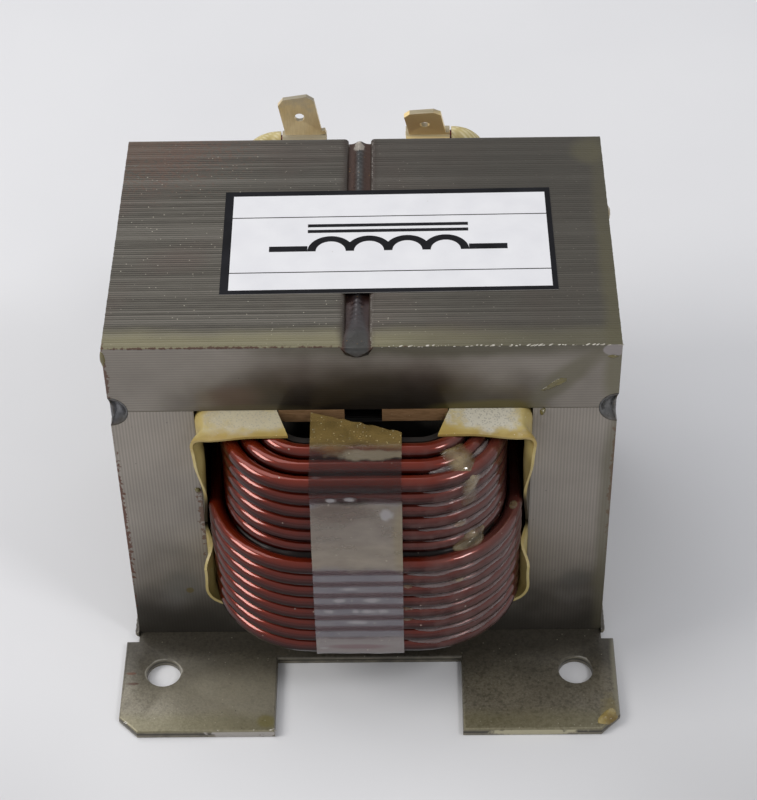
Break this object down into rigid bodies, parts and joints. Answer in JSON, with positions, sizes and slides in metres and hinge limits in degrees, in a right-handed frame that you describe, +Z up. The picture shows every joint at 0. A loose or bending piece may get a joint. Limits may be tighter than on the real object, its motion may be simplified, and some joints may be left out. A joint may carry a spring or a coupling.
{
  "type": "iron-core reactor",
  "caption": "Single-winding iron-core reactor: welded lamination core on a stamped foot plate, with red enamelled wire and tab terminals at the rear.",
  "frame": {"origin": "bottom centre of the foot plate, under the middle of the core", "axes": "+X to the right seen from the front, +Y to the rear where the tab terminals are, +Z up"},
  "size_m": [0.082, 0.0934, 0.0667],
  "materials": {
    "core_steel": "satin, varnished",
    "plate_steel": "satin, varnished",
    "weld_metal": "satin",
    "wire_enamel": "gloss",
    "liner_paper": "satin, varnished",
    "spacer_board": "matte",
    "former_board": "matte",
    "clear_tape": "gloss",
    "sleeving": "satin",
    "tab_brass": "satin",
    "label_paper": "semi-gloss"
  },
  "bodies": {
    "root": {"foot_plate": "plate_steel", "e_stack": "core_steel", "i_stack": "core_steel", "top_weld": "weld_metal", "left_joint_weld": "weld_metal", "right_joint_weld": "weld_metal", "left_plate_weld": "weld_metal", "right_plate_weld": "weld_metal", "left_gap_spacer": "spacer_board", "right_gap_spacer": "spacer_board", "coil_former": "former_board", "winding": "wire_enamel", "left_upper_liner": "liner_paper", "right_upper_liner": "liner_paper", "left_lower_liner": "liner_paper", "right_lower_liner": "liner_paper", "coil_tape": "clear_tape", "left_lead_sleeve": "sleeving", "right_lead_sleeve": "sleeving", "left_terminal": "tab_brass", "right_terminal": "tab_brass", "label": "label_paper"}
  },
  "joints": []
}
